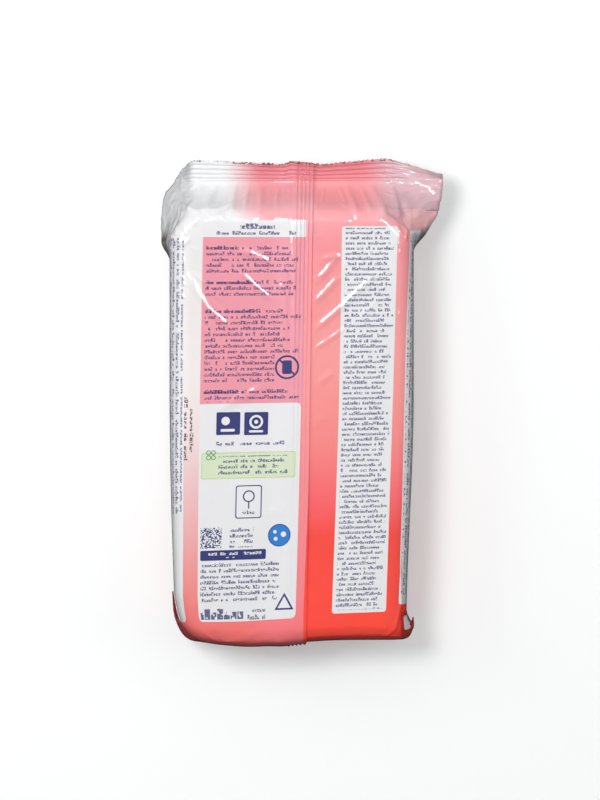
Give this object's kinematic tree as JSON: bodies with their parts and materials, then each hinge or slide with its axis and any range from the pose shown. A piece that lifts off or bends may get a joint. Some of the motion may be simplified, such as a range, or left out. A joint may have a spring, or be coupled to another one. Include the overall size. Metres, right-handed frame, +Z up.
{
  "type": "wet wipes pack",
  "caption": "Sealed flow-wrap pack of wet wipes lying on its front, with a back seam, crimped ends and a peelable closure underneath.",
  "frame": {"origin": "on the table, at the middle of the peelable closure's flat face, under the middle of the stack", "axes": "+X across the pack, +Y along it towards the crimped seal that stands out, +Z up, through the face with the back seam"},
  "size_m": [0.1285, 0.2223, 0.0497],
  "materials": {
    "printed_film": "glossy printed polypropylene film",
    "closure_film": "glossy peelable label film"
  },
  "bodies": {
    "root": {"film_pack": "printed_film", "peel_closure": "closure_film"}
  },
  "joints": []
}
